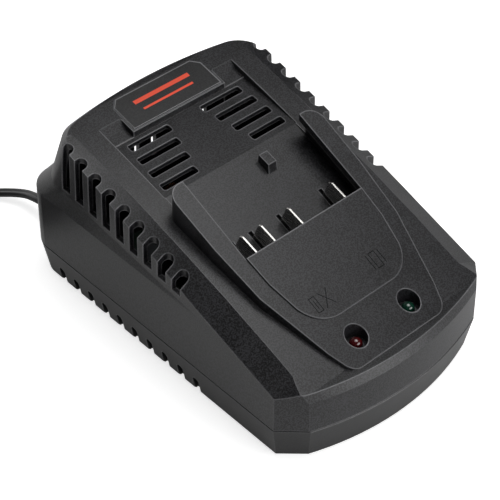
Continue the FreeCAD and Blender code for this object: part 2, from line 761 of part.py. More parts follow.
def terminal_carrier():
    """Moulded block under the bay floor that grips the four contacts."""
    y0, y1 = bay_front_y - 0.5, blade_foot_y + 3.0
    half = carrier_half
    block = prism([(-half, y0, carrier_low_z), (-half, y0, floor_z(y0) - wall),
                   (-half, y1, floor_z(y1) - wall), (-half, y1, carrier_low_z)], (2 * half, 0, 0))
    grip = blade_thick / 2 + carrier_gap
    cuts = [box(x - grip, x + grip, y0 - 1, blade_foot_y + carrier_gap, carrier_low_z - 1, 70)
            for x in blade_x.values()]
    return block.cut(cuts)


def circuit_board():
    plate = box(-board_half_x, board_half_x, board_front_y, board_rear_y, board_z, board_z + board_thick)
    return plate.cut([rod(board_hole, 4, x, y, board_z - 1) for x, y in boss_spots])


def pan_screw(x, y, head_z, sizes, up):
    """Screw standing along Z: up is 1 for a head below its shank, -1 for a head above it."""
    head_d, head_h, shank_d, length = sizes
    if up > 0:
        head = rod(head_d, head_h, x, y, head_z - head_h)
        shank = rod(shank_d, length, x, y, head_z)
        slot_z = head_z - head_h
    else:
        head = rod(head_d, head_h, x, y, head_z)
        shank = rod(shank_d, length, x, y, head_z - length)
        slot_z = head_z + head_h - screw_slot
    slot = box(x - head_d / 2, x + head_d / 2, y - screw_slot / 2, y + screw_slot / 2, slot_z, slot_z + screw_slot)
    return fuse([head, shank]).cut(slot)


def group(shapes):
    return Part.makeCompound(shapes)


def lamp(x):
    """Round lamp with a flange, a dome and two wire legs that reach the board."""
    base = lamp_top_z - lamp_body_h - lamp_lens / 2
    lens = fuse([rod(lamp_lens, lamp_body_h, x, lamp_y, base),
                 Part.makeSphere(lamp_lens / 2, V(x, lamp_y, base + lamp_body_h)),
                 rod(lamp_lens + lamp_flange, 1.0, x, lamp_y, base)])
    legs = [rod(lamp_leg_d, base - board_top, x + dx, lamp_y, board_top) for dx in (-lamp_leg_x, lamp_leg_x)]
    return fuse([lens] + legs)


def lamp_spacer(x):
    base = lamp_top_z - lamp_body_h - lamp_lens / 2
    tube = rod(lamp_lens + lamp_flange, base - board_top, x, lamp_y, board_top)
    return tube.cut([rod(lamp_leg_d + 0.4, base, x + dx, lamp_y, board_top - 1) for dx in (-lamp_leg_x, lamp_leg_x)])


def ferrite_core(cx, cy, z0):
    """Pair of E halves as one frame with two windows and a round middle leg."""
    w, d, h = core_size
    frame = box(cx - w / 2, cx + w / 2, cy - d / 2, cy + d / 2, z0, z0 + h)
    leg = core_leg
    window_w = (w - leg - 2 * core_side) / 2
    cuts = [box(cx + s * (leg / 2 + window_w / 2) - window_w / 2, cx + s * (leg / 2 + window_w / 2) + window_w / 2,
                cy - d, cy + d, z0 + core_side, z0 + h - core_side) for s in (-1, 1)]
    return frame.cut(cuts)


def bobbin(cx, cy, z0):
    """Flanged former round the middle leg of the core."""
    w, d, h = core_size
    in_x, in_y = core_leg / 2 + core_play, d / 2 + core_play
    low, high = z0 + core_side + core_play, z0 + h - core_side - core_play
    flange_x = w / 2 - core_side - 0.4
    flange_y = d / 2 + bobbin_flange
    tube = box(cx - in_x - bobbin_wall, cx + in_x + bobbin_wall, cy - in_y - bobbin_wall,
               cy + in_y + bobbin_wall, low, high)
    flanges = [box(cx - flange_x, cx + flange_x, cy - flange_y, cy + flange_y, z, z + bobbin_wall)
               for z in (low, high - bobbin_wall)]
    hole = box(cx - in_x, cx + in_x, cy - in_y, cy + in_y, z0 - 1, z0 + h + 1)
    return fuse([tube] + flanges).cut(hole)


def winding(cx, cy, z0):
    """Taped winding that fills the former between its flanges."""
    w, d, h = core_size
    inset = core_play + bobbin_wall
    low, high = z0 + core_side + inset, z0 + h - core_side - inset
    in_x, in_y = core_leg / 2 + inset, d / 2 + inset
    out_x, out_y = w / 2 - core_side - 0.9, d / 2 + bobbin_flange - 0.8
    outer = box(cx - out_x, cx + out_x, cy - out_y, cy + out_y, low, high)
    outer = outer.makeFillet(winding_round, [e for e in outer.Edges if abs(e.tangentAt(e.FirstParameter).z) > 0.9])
    return outer.cut(box(cx - in_x, cx + in_x, cy - in_y, cy + in_y, low - 1, high + 1))


def can(x, y, d, h):
    """Electrolytic capacitor standing on the board, with a crimp groove near its foot."""
    body = rod(d, h, x, y, board_top)
    ring = rod(d + 2, 0.8, x, y, board_top + 1.6).cut(rod(d - 0.8, 0.8, x, y, board_top + 1.6))
    return body.cut(ring)


def heat_sink(cx, cy, width, height, fins):
    """Upright plate with fins on the side away from its device."""
    fin, reach = sink_fin
    plate = box(cx - width / 2, cx + width / 2, cy - sink_half, cy + sink_half, board_top, board_top + height)
    step = (width - fin) / (fins - 1)
    combs = []
    for i in range(fins):
        x = cx - width / 2 + i * step
        combs.append(box(x, x + fin, cy + sink_half, cy + reach, board_top, board_top + height))
    return fuse([plate] + combs)


def power_device(cx, cy):
    """Flat power package in front of its sink, with three legs in the board."""
    deep, tab_deep = device_y
    low, high, tip = [board_top + z for z in device_z]
    body = box(cx - device_half_x, cx + device_half_x, cy - deep, cy - sink_half, low, high)
    tab = box(cx - device_half_x, cx + device_half_x, cy - tab_deep, cy - sink_half, high, tip)
    legs = [box(cx + dx - 0.4, cx + dx + 0.4, cy - 3.5, cy - 3.0, board_top, low) for dx in device_legs]
    return fuse([body, tab] + legs)


def chip(cx, cy, length, width):
    low, high = chip_z
    body = box(cx - length / 2, cx + length / 2, cy - width / 2, cy + width / 2, board_top + low, board_top + high)
    legs = []
    for i in range(4):
        x = cx + (i - 1.5) * length / 4.4
        legs.append(box(x - 0.25, x + 0.25, cy - width / 2 - 1.2, cy + width / 2 + 1.2, board_top, board_top + 0.6))
    return fuse([body] + legs)


def choke():
    """Ring core on edge, on a small base."""
    cx, cy = choke_spot
    outer_d, inner_d, thick = choke_ring
    half_x, half_y, base_h = choke_base
    axis_z = board_top + outer_d / 2 + 2
    ring = rod(outer_d, thick, cx - thick / 2, cy, axis_z, (1, 0, 0))
    ring = ring.cut(rod(inner_d, thick + 2, cx - thick / 2 - 1, cy, axis_z, (1, 0, 0)))
    return fuse([ring, box(cx - half_x, cx + half_x, cy - half_y, cy + half_y, board_top, board_top + base_h)])


def choke_windings():
    """Two bands of wire round the outside of the ring, front and rear."""
    cx, cy = choke_spot
    wire_d, width = choke_wire
    core_d = choke_ring[0]
    axis_z = board_top + core_d / 2 + 2
    band = rod(wire_d, width, cx - width / 2, cy, axis_z, (1, 0, 0))
    band = band.cut(rod(core_d + 0.2, width + 2, cx - width / 2 - 1, cy, axis_z, (1, 0, 0)))
    sides = []
    for near, far in ((-core_d, -6), (6, core_d)):
        sides.append(band.common(box(cx - width, cx + width, cy + near, cy + far, axis_z - 6, axis_z + 6)))
    return group(sides)


def fuse_body():
    """Glass tube with a metal cap on each end, lying on the board."""
    x, y = fuse_spot
    z = board_top + fuse_lift
    glass_d, cap_d = fuse_d
    tube = rod(glass_d, fuse_length - 2 * fuse_cap, x, y, z, (0, 1, 0))
    caps = [rod(cap_d, fuse_cap, x, y - fuse_cap, z, (0, 1, 0)),
            rod(cap_d, fuse_cap, x, y + fuse_length - 2 * fuse_cap, z, (0, 1, 0))]
    return group([tube] + caps)


def block(sizes):
    """Box standing on the board: x0, x1, y0, y1 and height."""
    x0, x1, y0, y1, height = sizes
    return box(x0, x1, y0, y1, board_top, board_top + height)


def smooth_path(points):
    """Edges of straight runs joined by tangent arcs, and the radii of the arcs."""
    pts = [V(*p) for p in points]
    edges, radii = [], []
    at = pts[0]
    for a, b, c in zip(pts, pts[1:], pts[2:]):
        u, w = b.sub(a), c.sub(b)
        run = min(u.Length, w.Length)
        u.normalize()
        w.normalize()
        turn = u.getAngle(w)
        radius = 0.45 * run / math.tan(turn / 2)
        radii.append(radius)
        back = 0.45 * run
        p = b.sub(V(u).multiply(back))
        q = b.add(V(w).multiply(back))
        inward = V(w).sub(u)
        inward.normalize()
        mid = b.add(V(inward).multiply(radius / math.cos(turn / 2) - radius))
        if p.sub(at).Length > 1e-6:
            edges.append(Part.makeLine(at, p))
        edges.append(Part.Arc(p, mid, q).toShape())
        at = q
    edges.append(Part.makeLine(at, pts[-1]))
    return edges, radii


def tube_along(edges, d):
    path = Part.Wire(edges)
    start = edges[0].valueAt(edges[0].FirstParameter)
    heading = edges[0].tangentAt(edges[0].FirstParameter)
    ring = Part.Wire([Part.makeCircle(d / 2, start, heading)])
    return path.makePipeShell([ring], True, False)


def arc_from(p, t, q):
    """Circular edge that leaves p along t and ends at q."""
    chord = q.sub(p)
    side = chord.sub(V(t).multiply(chord.dot(t)))
    if side.Length < 1e-6:
        return Part.makeLine(p, q)
    across = side.Length
    radius = chord.Length ** 2 / (2 * across)
    side.normalize()
    centre = p.add(V(side).multiply(radius))
    middle = p.add(V(chord).multiply(0.5)).sub(centre)
    middle.normalize()
    if chord.dot(t) < 0:
        middle = middle.multiply(-1)
    return Part.Arc(p, centre.add(middle.multiply(radius)), q).toShape()


def biarc(p, t, q, w):
    """Two tangent arcs from p along t to q along w."""
    v = q.sub(p)
    both_t = t.add(w)
    a = 2 * (t.dot(w) - 1)
    b = -2 * v.dot(both_t)
    c = v.dot(v)
    if abs(a) < 1e-9:
        d = -c / b
    else:
        d = (-b - math.sqrt(b * b - 4 * a * c)) / (2 * a)
        if d < 0:
            d = (-b + math.sqrt(b * b - 4 * a * c)) / (2 * a)
    joint = p.add(V(t).multiply(d)).add(q.sub(V(w).multiply(d))).multiply(0.5)
    first = arc_from(p, t, joint)
    heading = V(w).multiply(-1)
    back = arc_from(q, heading, joint)
    centre_edge = Part.Arc(joint, back.valueAt((back.FirstParameter + back.LastParameter) / 2), q).toShape() \
        if back.Curve.TypeId == "Part::GeomCircle" else Part.makeLine(joint, q)
    return [first, centre_edge]


def coil_point(turn):
    """Centre line of the coil after this many turns, as radius and height."""
    climb_a = coil_turns_in
    climb_b = coil_turns_in + climb_turns
    if turn <= climb_a:
        radius = coil_outer_r - coil_pitch * turn
        rise = 0.0
    elif turn < climb_b:
        s = (turn - climb_a) / climb_turns
        radius = coil_outer_r - coil_pitch * (climb_a + climb_turns * (0.5 - abs(s - 0.5)))
        rise = coil_pitch * s * s * (3 - 2 * s)
    else:
        radius = coil_outer_r - coil_pitch * climb_a + coil_pitch * (turn - climb_b)
        rise = coil_pitch
    return radius, rise


def coil_edges():
    """Edges of the wound lead: quarter-turn biarcs inward on the floor, then outward on top."""
    total = coil_turns_in + climb_turns + coil_turns_out
    turns = [i / 4 for i in range(int(total * 4) + 1)] + [total]
    nodes = []
    for turn in turns:
        radius, rise = coil_point(turn)
        a = coil_start_angle + 2 * math.pi * turn
        spot = V(coil_centre[0] + radius * math.cos(a), coil_centre[1] + radius * math.sin(a), cord_d / 2 + rise)
        before, after = max(turn - 0.125, 0), min(turn + 0.125, total)
        grow = (coil_point(after)[0] - coil_point(before)[0]) / (after - before) / (2 * math.pi)
        heading = V(grow * math.cos(a) - radius * math.sin(a), grow * math.sin(a) + radius * math.cos(a), 0)
        heading.normalize()
        nodes.append((spot, heading))
    edges = [Part.makeLine(nodes[0][0].sub(V(nodes[0][1]).multiply(cord_d)), nodes[0][0])]
    for (p, t), (q, w) in zip(nodes, nodes[1:]):
        edges += biarc(p, t, q, w)
    end, out = nodes[-1]
    edges.append(Part.makeLine(end, end.add(V(out).multiply(cord_d))))
    return edges


def least_gap(edges, d):
    """Smallest space between turns, measured between points more than half a turn apart."""
    points, run = [], 0.0
    for edge in edges:
        count = max(int(edge.Length / 1.5), 1)
        for i in range(count):
            s = edge.FirstParameter + (edge.LastParameter - edge.FirstParameter) * i / count
            points.append((run + edge.Length * i / count, edge.valueAt(s)))
        run += edge.Length
    best = 1e9
    for i, (sa, a) in enumerate(points):
        for sb, b in points[i + 1:]:
            if sb - sa > 8 * d:
                best = min(best, a.distanceToPoint(b))
    return best - d


def mains_cord():
    edges, radii = smooth_path(lead_points + [lead_end])
    print("lead radii", [round(r, 1) for r in radii], "length", round(sum(e.Length for e in edges), 1))
    solid = tube_along(edges, cord_d)
    ideal = math.pi * cord_d ** 2 / 4 * sum(e.Length for e in edges)
    print("lead volume ratio", round(solid.Volume / ideal, 4))
    return solid


def cord_coil(edges):
    solid = tube_along(edges, cord_d)
    length = sum(e.Length for e in edges)
    print("coil length", round(length, 1), "volume ratio",
          round(solid.Volume / (math.pi * cord_d ** 2 / 4 * length), 4), "least gap",
          round(least_gap(edges, cord_d), 2), "mid diameter", round(2 * coil_outer_r - coil_pitch * coil_turns_in, 1))
    return solid


def tail_route(last_edge):
    """Edges of the lead from the coil to the plug, and the point where the plug takes over."""
    leave = last_edge.valueAt(last_edge.LastParameter)
    out = last_edge.tangentAt(last_edge.LastParameter)
    points = [(leave.x, leave.y, leave.z)]
    for along, across, z in tail_bends:
        points.append((leave.x + out.x * along - out.y * across, leave.y + out.y * along + out.x * across, z))
    end = V(leave.x + out.x * tail_run, leave.y + out.y * tail_run, plug_height / 2)
    edges, radii = smooth_path(points + [(end.x, end.y, end.z)])
    print("tail points", [tuple(round(c, 2) for c in p) for p in points], "radii", [round(r, 1) for r in radii])
    return edges, end


def plug_body(end, angle):
    z = plug_height / 2
    base = box(-plug_width / 2, plug_width / 2, plug_neck, plug_neck + plug_length, -z, z)
    base = base.makeFillet(plug_round, [e for e in base.Edges if abs(e.tangentAt(e.FirstParameter).y) > 0.9])
    waist = Part.makeLoft([Part.Wire([Part.makeCircle(plug_neck_d / 2, V(0, 0, 0), V(0, 1, 0))]),
                           Part.Wire([Part.makeCircle(plug_height / 2 - 0.4, V(0, plug_neck + 1, 0), V(0, 1, 0))])],
                          True, True)
    return placed(fuse([base, waist]), end, angle)


def placed(shape, end, angle):
    return shape.rotated(V(0, 0, 0), V(0, 0, 1), angle).translated(end)


def plug_pins(end, angle):
    pins = []
    for x in (-pin_spacing / 2, pin_spacing / 2):
        y0 = plug_neck + plug_length
        shank = rod(pin_d, pin_length - pin_d / 2, x, y0, 0, (0, 1, 0))
        pins.append(placed(fuse([shank, Part.makeSphere(pin_d / 2, V(x, y0 + pin_length - pin_d / 2, 0))]),
                           end, angle))
    return group(pins)


def strain_relief():
    """Tapered sleeve with a neck through the rear wall and a flange inside it."""
    flange = rod(gland_flange_d, gland_flange, exit_x, gland_inner_y, exit_z, (0, 1, 0))
    neck = rod(gland_neck_d, gland_outer_y - gland_inner_y - 0.5, exit_x, gland_inner_y + 1, exit_z, (0, 1, 0))
    sleeve = Part.makeCone(gland_d / 2, gland_tip_d / 2, gland_end_y - gland_outer_y,
                           V(exit_x, gland_outer_y, exit_z), V(0, 1, 0))
    rings = []
    first, width, deep = gland_ring
    for i in range(gland_rings):
        y = gland_outer_y + first + i * gland_ring_pitch
        outer = rod(gland_d + 2, width, exit_x, y, exit_z, (0, 1, 0))
        d = gland_d + (gland_tip_d - gland_d) * (y - gland_outer_y) / (gland_end_y - gland_outer_y) - deep
        rings.append(outer.cut(rod(d, width, exit_x, y, exit_z, (0, 1, 0))))
    return fuse([flange, neck, sleeve]).cut(rings)


def inner_lead():
    return rod(cord_d, gland_inner_y - lead_inside_y, exit_x, lead_inside_y, exit_z, (0, 1, 0))


def cord_clamp():
    bar = box(exit_x - clamp_half, exit_x + clamp_half, clamp_y - 3.5, clamp_y + 3.0, clamp_z, clamp_top_z)
    holes = [rod(clamp_screw[2] + 0.5, 10, exit_x + s * clamp_screw_x, clamp_y, clamp_z - 1) for s in (-1, 1)]
    return bar.cut([rod(cord_d + 0.1, 20, exit_x, clamp_y - 8, exit_z, (0, 1, 0))] + holes)


def core_wires():
    """Two insulated cores from the sheath to the underside of the board."""
    wires = []
    for s in (-1, 1):
        x, y = exit_x + s * core_wire_x, core_wire_y - s * 2
        edges, _ = smooth_path([(x, lead_inside_y, exit_z), (x, y, exit_z), (x, y, board_z)])
        wires.append(tube_along(edges, core_wire_d))
    return group(wires)


def terminal_wires():
    y = sum(tab_y) / 2
    return group([rod(terminal_wire_d, tab_low_z - board_top, x, y, board_top) for x in blade_x.values()])


save("upper_shell", upper_shell())
save("lower_shell", lower_shell())
save("name_plate", name_plate())
for name, x in blade_x.items():
    save("terminal_blade_" + name, terminal_blade(x))
save("terminal_carrier", terminal_carrier())
save("terminal_wires", terminal_wires())
save("circuit_board", circuit_board())
save("transformer_core", ferrite_core(core_spot[0], core_spot[1], board_top))
save("transformer_bobbin", bobbin(core_spot[0], core_spot[1], board_top))
save("transformer_winding", winding(core_spot[0], core_spot[1], board_top))
save("mains_capacitor", can(*mains_can))
save("output_capacitors", group([can(*sizes) for sizes in output_cans]))
save("film_capacitor", block(film_box))
save("choke_core", choke())
save("choke_windings", choke_windings())
save("fuse", fuse_body())
save("bridge_rectifier", block(rectifier_box))
save("primary_heat_sink", heat_sink(*primary_sink))
save("switching_transistor", power_device(primary_sink[0], primary_sink[1]))
save("output_heat_sink", heat_sink(*output_sink))
save("output_diode", power_device(output_sink[0], output_sink[1]))
save("control_chips", group([chip(*sizes) for sizes in chips]))
save("lamp_red", lamp(-lamp_x))
save("lamp_green", lamp(lamp_x))
save("lamp_spacers", group([lamp_spacer(-lamp_x), lamp_spacer(lamp_x)]))
save("board_screws", group([pan_screw(x, y, board_top, board_screw, -1) for x, y in boss_spots]))
save("case_screws", group([pan_screw(x, y, case_recess_z, case_screw, 1) for x, y in case_spots]))
save("rubber_feet", group([rod(foot_d, foot_height + foot_seat, x, y, 0) for x, y in foot_spots]))
save("strain_relief", strain_relief())
save("inner_lead", inner_lead())
save("cord_clamp", cord_clamp())
clamp_spots = [(exit_x + s * clamp_screw_x, clamp_y) for s in (-1, 1)]
save("clamp_screws", group([pan_screw(x, y, clamp_top_z, clamp_screw, -1) for x, y in clamp_spots]))
save("core_wires", core_wires())
save("mains_cord", mains_cord())
wound = coil_edges()
save("cord_coil", cord_coil(wound))
tail_edges, tail_end = tail_route(wound[-1])
save("cord_tail", tube_along(tail_edges, cord_d))
last = tail_edges[-1].tangentAt(tail_edges[-1].LastParameter)
plug_angle = math.degrees(math.atan2(last.y, last.x)) - 90
save("plug_body", plug_body(tail_end, plug_angle))
save("plug_pins", plug_pins(tail_end, plug_angle))
print("coil centre", [round(c, 2) for c in coil_centre], "start angle", round(math.degrees(coil_start_angle), 2),
      "lead end", [round(c, 2) for c in lead_end])
print("plug at", [round(c, 2) for c in tail_end], "angle", round(plug_angle, 2))
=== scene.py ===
import json
import logging
import math
from dataclasses import dataclass
from enum import Enum
from typing import Any, ClassVar, Optional, Sequence, Union

import bpy
import numpy as np
from mathutils import Euler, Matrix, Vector

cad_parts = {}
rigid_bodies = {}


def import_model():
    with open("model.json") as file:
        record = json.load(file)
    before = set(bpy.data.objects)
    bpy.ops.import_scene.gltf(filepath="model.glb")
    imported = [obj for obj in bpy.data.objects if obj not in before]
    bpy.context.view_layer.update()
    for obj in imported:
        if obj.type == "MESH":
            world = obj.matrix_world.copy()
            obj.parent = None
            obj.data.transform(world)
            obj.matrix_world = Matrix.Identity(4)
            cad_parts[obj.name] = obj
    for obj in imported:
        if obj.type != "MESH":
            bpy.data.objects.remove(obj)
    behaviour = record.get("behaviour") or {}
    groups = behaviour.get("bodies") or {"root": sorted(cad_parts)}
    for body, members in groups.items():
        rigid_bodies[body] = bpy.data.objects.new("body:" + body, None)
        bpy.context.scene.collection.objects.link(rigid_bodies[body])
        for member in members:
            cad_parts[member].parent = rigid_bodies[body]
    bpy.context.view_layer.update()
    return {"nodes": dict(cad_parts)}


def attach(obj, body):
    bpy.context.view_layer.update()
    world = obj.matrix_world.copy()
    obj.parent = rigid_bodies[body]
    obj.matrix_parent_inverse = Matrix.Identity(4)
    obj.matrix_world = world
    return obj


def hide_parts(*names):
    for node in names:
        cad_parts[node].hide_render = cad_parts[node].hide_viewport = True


for stray in list(bpy.data.objects):
    bpy.data.objects.remove(stray)
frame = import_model()

LOG = logging.getLogger("charger")
MM = 0.001
NOISE_MIDDLE = 0.5
Point = tuple[float, float, float]
Colour = tuple[float, float, float]
WHITE: Colour = (1.0, 1.0, 1.0)


class Coords(Enum):
    """Which coordinates a pattern is laid out in: a piece's own, or a direction of the world."""

    OBJECT = "Object"
    DIRECTION = "Generated"


class CordRun(Enum):
    """Named stretches of the mains lead, in order from the case."""

    LEAD = "lead"
    COIL = "coil"
    TAIL = "tail"


class Field:
    """An output socket of a node; one that gives numbers takes part in ordinary arithmetic."""

    def __init__(self, tree: "ShaderTree", socket: Optional[bpy.types.NodeSocket]) -> None:
        """Keep the tree and the output socket that this value comes from."""
        self.tree = tree
        self.socket = socket

    def output(self, name: Union[int, str]) -> "Field":
        """Another output, by its name or index, of the node that this field comes from."""
        return Field(self.tree, self.socket.node.outputs[name])

    def _with(self, operation: str, first: Any, second: Any = None) -> "Field":
        """Add one Math node.

        Args:
            operation: Name of the Math operation.
            first: First value or field.
            second: Second value or field, if the operation has one.

        Returns:
            The field of the node's result.
        """
        values = {i: v for i, v in enumerate((first, second)) if v is not None}
        return self.tree.node("ShaderNodeMath", {"operation": operation}, values)

    def __add__(self, other: Union["Field", float]) -> "Field":
        """Sum with a value or field."""
        return self._with("ADD", self, other)

    __radd__ = __add__

    def __sub__(self, other: Union["Field", float]) -> "Field":
        """Difference from a value or field."""
        return self._with("SUBTRACT", self, other)

    def __rsub__(self, other: float) -> "Field":
        """Value less this field."""
        return self._with("SUBTRACT", other, self)

    def __mul__(self, other: Union["Field", float]) -> "Field":
        """Product with a value or field."""
        return self._with("MULTIPLY", self, other)

    __rmul__ = __mul__

    def __abs__(self) -> "Field":
        """Absolute value."""
        return self._with("ABSOLUTE", self)

    def clamped(self) -> "Field":
        """Value held between 0 and 1."""
        return self._with("MINIMUM", self._with("MAXIMUM", self, 0.0), 1.0)

    def above(self, edge: float, soft: float) -> "Field":
        """Mask that rises from 0 to 1 across edge, over a width of soft."""
        return ((self - (edge - soft / 2)) * (1.0 / soft)).clamped()

    def most(self, other: "Field") -> "Field":
        """Larger of two fields."""
        return self._with("MAXIMUM", self, other)


class ShaderTree:
    """Node tree of one material or of the world, filled by a single method."""

    def __init__(self, owner: Union[bpy.types.Material, bpy.types.World]) -> None:
        """Start an empty tree.

        Args:
            owner: Material or world whose tree it is.
        """
        owner.use_nodes = True
        self.tree = owner.node_tree
        self.tree.nodes.clear()

    def node(self, kind: str, settings: Optional[dict[str, Any]] = None,
             inputs: Optional[dict[Any, Any]] = None, output: Any = 0) -> Field:
        """Add one node, set it up, then fill its sockets.

        Args:
            kind: Type name of the node.
            settings: Attributes of the node, set before any socket.
            inputs: Socket name or index to a value, field or colour.
            output: Name or index of the output that is returned.

        Returns:
            The field of the chosen output.
        """
        made = self.tree.nodes.new(kind)
        for name, value in (settings or {}).items():
            setattr(made, name, value)
        for key, value in (inputs or {}).items():
            if isinstance(value, Field):
                self.tree.links.new(value.socket, made.inputs[key])
            elif isinstance(value, tuple) and len(value) == 3 and made.inputs[key].type == "RGBA":
                made.inputs[key].default_value = (*value, 1.0)
            else:
                made.inputs[key].default_value = value
        return Field(self, made.outputs[output] if len(made.outputs) else None)

    def coords(self, kind: Coords = Coords.OBJECT, scale: Point = (1.0, 1.0, 1.0)) -> Field:
        """Coordinates of the surface point or direction, scaled."""
        raw = self.node("ShaderNodeTexCoord", output=kind.value)
        return self.node("ShaderNodeMapping", inputs={"Vector": raw, "Scale": scale})

    def axes(self, vector: Field) -> tuple[Field, Field, Field]:
        """Split a vector into its three numbers."""
        first = self.node("ShaderNodeSeparateXYZ", inputs={0: vector})
        return first, first.output(1), first.output(2)

    def noise(self, vector: Field, scale: float, detail: float = 2.0, rough: float = 0.5) -> Field:
        """Fractal noise between 0 and 1."""
        return self.node("ShaderNodeTexNoise", None,
                         {"Vector": vector, "Scale": scale, "Detail": detail, "Roughness": rough})

    def blend(self, amount: Union[Field, float], low: Any, high: Any) -> Field:
        """Colour mixed from low to high."""
        return self.node("ShaderNodeMix", {"data_type": "RGBA"}, {0: amount, 6: low, 7: high}, output=2)

    def bump(self, height: Field, depth: float, base: Field) -> Field:
        """Base normal disturbed by a height field that is depth metres from low to high."""
        return self.node("ShaderNodeBump", None,
                         {"Height": height, "Strength": 1.0, "Distance": depth, "Normal": base})

    def finish(self, surface: Field, kind: str = "ShaderNodeOutputMaterial") -> None:
        """Connect the surface to the output node."""
        self.node(kind, None, {"Surface": surface})


@dataclass(frozen=True)
class Finish:
    """A finish: its colour, gloss and fine relief.

    The sizes grain, grain_depth and edge, the radius of a rounded edge, are in millimetres. The
    colour swings by the share mottle to each side: broad clouds move it by CLOUD_SHARE and the grain
    by speckle. An edge colour other than black is a painted highlight: a paler colour laid along the
    outer edges, where rounded edges catch the light.
    """

    name: str
    colour: Colour = (0.02, 0.02, 0.022)
    roughness: float = 0.5
    metallic: float = 0.0
    coat: float = 0.0
    specular: float = 0.5
    grain: float = 0.5
    grain_depth: float = 0.02
    mottle: float = 0.12
    edge: float = 0.35
    # Colour painted along the outer edges: a painted highlight where rounded edges catch the light.
    painted_edge_highlight: Colour = (0.0, 0.0, 0.0)
    speckle: float = 2.7

    CLOUD_SCALE: ClassVar[float] = 90.0
    CLOUD_DETAIL: ClassVar[float] = 3.0
    CLOUD_SHARE: ClassVar[float] = 1.2
    CLOUD_GLOSS: ClassVar[float] = 0.1
    GRAIN_DETAIL: ClassVar[float] = 3.0
    GRAIN_ROUGH: ClassVar[float] = 0.55
    GRAIN_GLOSS: ClassVar[float] = 0.15
    EDGE_SAMPLES: ClassVar[int] = 8
    RIM_REACH: ClassVar[float] = 1.6
    RIM_GAIN: ClassVar[float] = 3.6
    RIM_START: ClassVar[float] = 0.12
    RIM_POLISH: ClassVar[float] = 0.12
    COAT_ROUGH: ClassVar[float] = 0.12

    def shades(self, tree: ShaderTree, place: Field, grain: Field, rim: Field) -> tuple[Field, Field]:
        """Base colour and roughness of the finish.

        Args:
            tree: Tree being filled.
            place: Object coordinates in metres.
            grain: Fine noise of the surface relief.
            rim: Mask that is 1 along rounded edges.

        Returns:
            Base colour field and roughness field.
        """
        cloud = tree.noise(place, self.CLOUD_SCALE, self.CLOUD_DETAIL) - NOISE_MIDDLE
        fleck = grain - NOISE_MIDDLE
        amount = (cloud * self.CLOUD_SHARE + fleck * self.speckle + NOISE_MIDDLE).clamped()
        low = tuple(c * (1 - self.mottle) for c in self.colour)
        high = tuple(c * (1 + self.mottle) for c in self.colour)
        colour = tree.blend(amount, low, high)
        rough = cloud * self.CLOUD_GLOSS + fleck * self.GRAIN_GLOSS + self.roughness
        # Outer edges are painted paler along the rim mask, a painted highlight; they are also made a
        # little glossier.
        if any(self.painted_edge_highlight):
            colour = tree.blend(rim, colour, self.painted_edge_highlight)
            rough = rough - rim * self.RIM_POLISH
        return colour, rough.clamped()

    def rim(self, tree: ShaderTree) -> Field:
        """Mask of the edges, where rays cast inwards over RIM_REACH edge radii soon meet a wall.

        With a for the share of those rays that meet none, the mask is RIM_GAIN (1 - a) - RIM_START,
        held between 0 and 1.

        Args:
            tree: Tree being filled.

        Returns:
            Field that is 1 along outer edges and 0 on broad faces.
        """
        inside = tree.node("ShaderNodeAmbientOcclusion",
                           {"samples": self.EDGE_SAMPLES, "inside": True, "only_local": True},
                           {"Distance": self.edge * self.RIM_REACH * MM}, output="AO")
        return ((1.0 - inside) * self.RIM_GAIN - self.RIM_START).clamped()

    def build(self) -> bpy.types.Material:
        """Make the material.

        Returns:
            A node material on Object coordinates with rounded edges in its normal.
        """
        material = bpy.data.materials.new(self.name)
        tree = ShaderTree(material)
        place = tree.coords()
        grain = tree.noise(place, 1.0 / (self.grain * MM), self.GRAIN_DETAIL, self.GRAIN_ROUGH)
        rounded = tree.node("ShaderNodeBevel", {"samples": self.EDGE_SAMPLES}, {"Radius": self.edge * MM})
        colour, rough = self.shades(tree, place, grain, self.rim(tree))
        shader = tree.node("ShaderNodeBsdfPrincipled", None, {
            "Base Color": colour, "Roughness": rough, "Metallic": self.metallic,
            "Normal": tree.bump(grain, self.grain_depth * MM, rounded),
            "Coat Weight": self.coat, "Coat Roughness": self.COAT_ROUGH,
            "Specular IOR Level": self.specular})
        tree.finish(shader)
        return material


@dataclass(frozen=True)
class PrintedFinish(Finish):
    """Satin plate with two plain printed bars across it.

    A bar is given by its middle x, middle y, width and depth, and its soft margin by ink_margin, all
    in millimetres.
    """

    ink: Colour = (0.78, 0.075, 0.03)
    bars: tuple[tuple[float, float, float, float], ...] = (
        (0.0, 61.0, 30.0, 2.0), (0.0, 56.4, 27.0, 1.1))
    ink_margin: float = 0.12

    def within(self, along: Field, middle: float, width: float) -> Field:
        """Mask that is 1 where a coordinate lies within half the width of the middle."""
        return (width / 2 * MM - abs(along - middle * MM)).above(0.0, self.ink_margin * MM)

    def shades(self, tree: ShaderTree, place: Field, grain: Field, rim: Field) -> tuple[Field, Field]:
        """Plain shades with each bar inked over them.

        Args:
            tree: Tree being filled.
            place: Object coordinates in metres.
            grain: Fine noise of the surface relief.
            rim: Mask that is 1 along rounded edges.

        Returns:
            Base colour field and roughness field.
        """
        colour, rough = Finish.shades(self, tree, place, grain, rim)
        x, y, _ = tree.axes(place)
        for mid_x, mid_y, width, deep in self.bars:
            bar = self.within(x, mid_x, width) * self.within(y, mid_y, deep)
            colour = tree.blend(bar, colour, self.ink)
        return colour, rough


